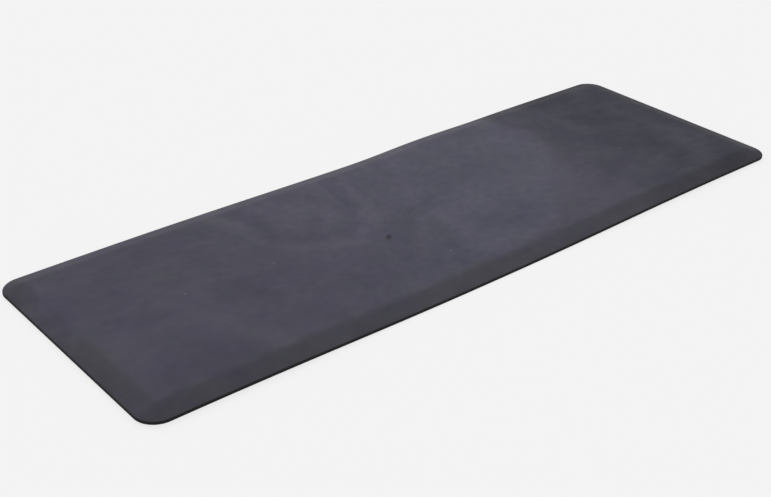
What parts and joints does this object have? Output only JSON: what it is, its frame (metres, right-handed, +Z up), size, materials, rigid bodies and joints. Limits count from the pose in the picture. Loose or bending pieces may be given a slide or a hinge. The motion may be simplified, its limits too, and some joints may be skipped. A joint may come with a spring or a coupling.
{
  "type": "anti-fatigue mat",
  "caption": "Long flat standing mat with rounded corners and a ramp along every edge; a cushioned, laminated pad that eases standing at a desk or bench.",
  "frame": {"origin": "middle of the underside, on the plane of the floor", "axes": "+X along the mat's length, +Y across its width, +Z up from the floor"},
  "size_m": [1.778, 0.61, 0.019],
  "materials": {
    "skin": "matte",
    "soft_foam": "matte",
    "firm_foam": "matte",
    "scrim": "matte",
    "base": "matte"
  },
  "bodies": {
    "root": {"wear_skin": "skin", "comfort_foam": "soft_foam", "support_foam": "firm_foam", "reinforcing_scrim": "scrim", "grip_base": "base"}
  },
  "joints": []
}
